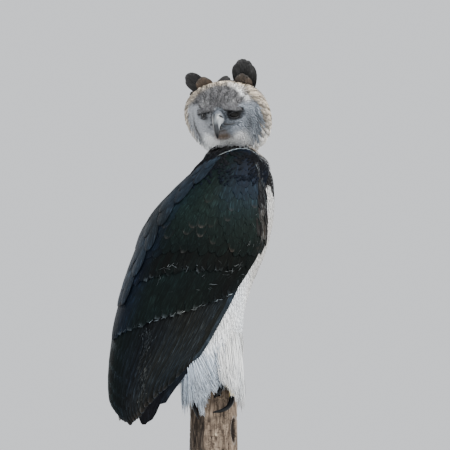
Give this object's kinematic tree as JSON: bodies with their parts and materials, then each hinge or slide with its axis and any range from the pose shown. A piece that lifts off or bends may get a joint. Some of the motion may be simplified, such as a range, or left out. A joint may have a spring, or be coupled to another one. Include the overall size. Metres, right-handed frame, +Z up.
{
  "type": "harpy eagle",
  "caption": "Life-size still model of a harpy eagle with folded wings and a raised split crest, gripping the top of a short cut trunk held by a round display stand.",
  "frame": {"origin": "centre of the stand's underside, where it rests", "axes": "+Z up; +X the way the chest faces; the bird's left side faces +Y"},
  "size_m": [0.4132, 0.34, 1.067],
  "materials": {
    "slate_feather": "satin slate-black feathers with a faint green-blue sheen",
    "black_feather": "matt black collar feathers",
    "white_feather": "soft white feathers",
    "grey_feather": "soft mottled grey feathers",
    "tail_feather": "grey and black banded feathers",
    "dark_horn": "polished black horn",
    "bill_horn": "polished grey horn",
    "eye": "glossy dark eye",
    "foot_skin": "scaled yellow skin",
    "weathered_wood": "bare weathered wood",
    "stand_wood": "dark satin wood",
    "stand_steel": "brushed"
  },
  "bodies": {
    "root": {"stand_base": "stand_wood", "stand_rod": "stand_steel", "perch_trunk": "weathered_wood", "torso": "white_feather", "mantle": "slate_feather", "neck": "black_feather", "tail": "tail_feather", "head": "grey_feather", "bill_upper": "bill_horn", "bill_lower": "bill_horn", "claw_right_inner": "dark_horn", "claw_right_middle": "dark_horn", "claw_right_outer": "dark_horn", "claw_right_hind": "dark_horn", "foot_right": "foot_skin", "leg_right": "white_feather", "eye_right": "eye", "wing_right": "slate_feather", "claw_left_inner": "dark_horn", "claw_left_middle": "dark_horn", "claw_left_outer": "dark_horn", "claw_left_hind": "dark_horn", "foot_left": "foot_skin", "leg_left": "white_feather", "eye_left": "eye", "wing_left": "slate_feather"}
  },
  "joints": []
}
